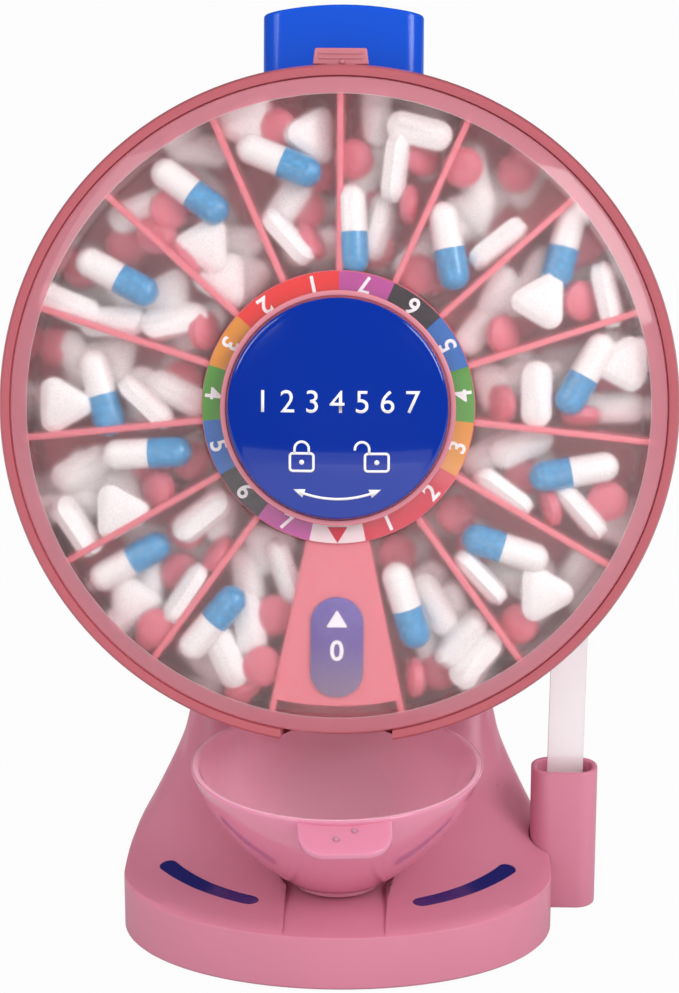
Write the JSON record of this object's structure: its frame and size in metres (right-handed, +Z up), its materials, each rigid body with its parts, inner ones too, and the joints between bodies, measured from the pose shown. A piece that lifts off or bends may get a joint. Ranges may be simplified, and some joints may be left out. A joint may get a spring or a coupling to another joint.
{
  "type": "pill dispenser",
  "caption": "Desk pill dispenser: a tilted wheel of compartments behind a clear locked cover, stepped round by a top button so that each dose falls into a pull-out bowl on the stand.",
  "frame": {"origin": "centre of the bounding box's base, on the table under the feet", "axes": "+Z up, the front with the cover and bowl towards -Y, +X towards the tool holder"},
  "size_m": [0.1644, 0.1284, 0.2218],
  "materials": {
    "stand_pink": "satin",
    "drum_coral": "satin",
    "tray_pink": "satin",
    "cover_clear": "clear, polished",
    "button_blue": "glossy",
    "knob_blue": "glossy",
    "inlay_navy": "glossy",
    "bowl_clear": "clear, tinted",
    "white_plastic": "satin",
    "label_print": "printed",
    "steel": "bright",
    "brass": "turned",
    "rubber": "matte",
    "acetal": "natural"
  },
  "bodies": {
    "stand": {"stand_shell": "stand_pink", "stand_rear_cover": "stand_pink", "base_plate": "stand_pink", "foot_front_left": "rubber", "foot_front_right": "rubber", "foot_rear_left": "rubber", "foot_rear_right": "rubber", "base_screw_front_left": "steel", "base_screw_front_right": "steel", "base_screw_rear_left": "steel", "base_screw_rear_right": "steel", "rear_screw_top": "steel", "rear_screw_left": "steel", "rear_screw_right": "steel", "inlay_left": "inlay_navy", "inlay_right": "inlay_navy", "tool_holder": "stand_pink", "drum_housing": "drum_coral", "drum_screw_top_left": "steel", "drum_screw_top_right": "steel", "drum_screw_bottom_left": "steel", "drum_screw_bottom_right": "steel", "rim_catch": "drum_coral", "axle": "steel", "axle_nut": "steel", "mechanism_plate": "steel", "plate_screw_lower_left": "steel", "plate_screw_lower_right": "steel", "plate_screw_upper": "steel", "holding_pawl": "acetal", "button_spring_left": "steel", "button_spring_right": "steel"},
    "carousel": {"vane_wheel": "tray_pink", "label_ring": "label_print", "start_label": "label_print", "ratchet_wheel": "acetal", "hub_bush": "brass", "ratchet_clip": "steel"},
    "cover": {"front_cover": "cover_clear", "knob_trim_ring": "white_plastic"},
    "knob": {"lock_knob": "knob_blue", "bayonet_sleeve": "acetal", "knob_clip": "steel", "knob_screw_left": "steel", "knob_screw_right": "steel"},
    "button": {"push_button": "button_blue", "plunger": "acetal", "drive_pawl": "acetal", "button_screw_left": "steel", "button_screw_right": "steel"},
    "bowl": {"pill_bowl": "bowl_clear"},
    "stick": {"pill_stick": "cover_clear"}
  },
  "joints": [
    {"name": "carousel_spin", "type": "hinge", "parent": "stand", "child": "carousel", "pos_m": [0, -0.0078, 0.1329], "axis": [0, -0.9724, 0.2334], "continuous": true, "deforming": ["holding_pawl"]},
    {"name": "cover_slide", "type": "slide", "parent": "stand", "child": "cover", "axis": [0, -0.9724, 0.2334], "range_m": [0, 0.07]},
    {"name": "knob_turn", "type": "hinge", "parent": "cover", "child": "knob", "pos_m": [0, -0.0078, 0.1329], "axis": [0, 0.9724, -0.2334], "range_deg": [0, 45]},
    {"name": "button_press", "type": "slide", "parent": "stand", "child": "button", "axis": [0, -0.2334, -0.9724], "range_m": [0, 0.009], "stiffness_N_per_m": 200, "springref_m": -0.01, "deforming": ["drive_pawl", "button_spring_left", "button_spring_right"]},
    {"name": "bowl_slide", "type": "slide", "parent": "stand", "child": "bowl", "axis": [0, -1, 0], "range_m": [0, 0.085]},
    {"name": "stick_lift", "type": "slide", "parent": "stand", "child": "stick", "axis": [0.0206, 0.1702, 0.9852], "range_m": [0, 0.045]}
  ]
}
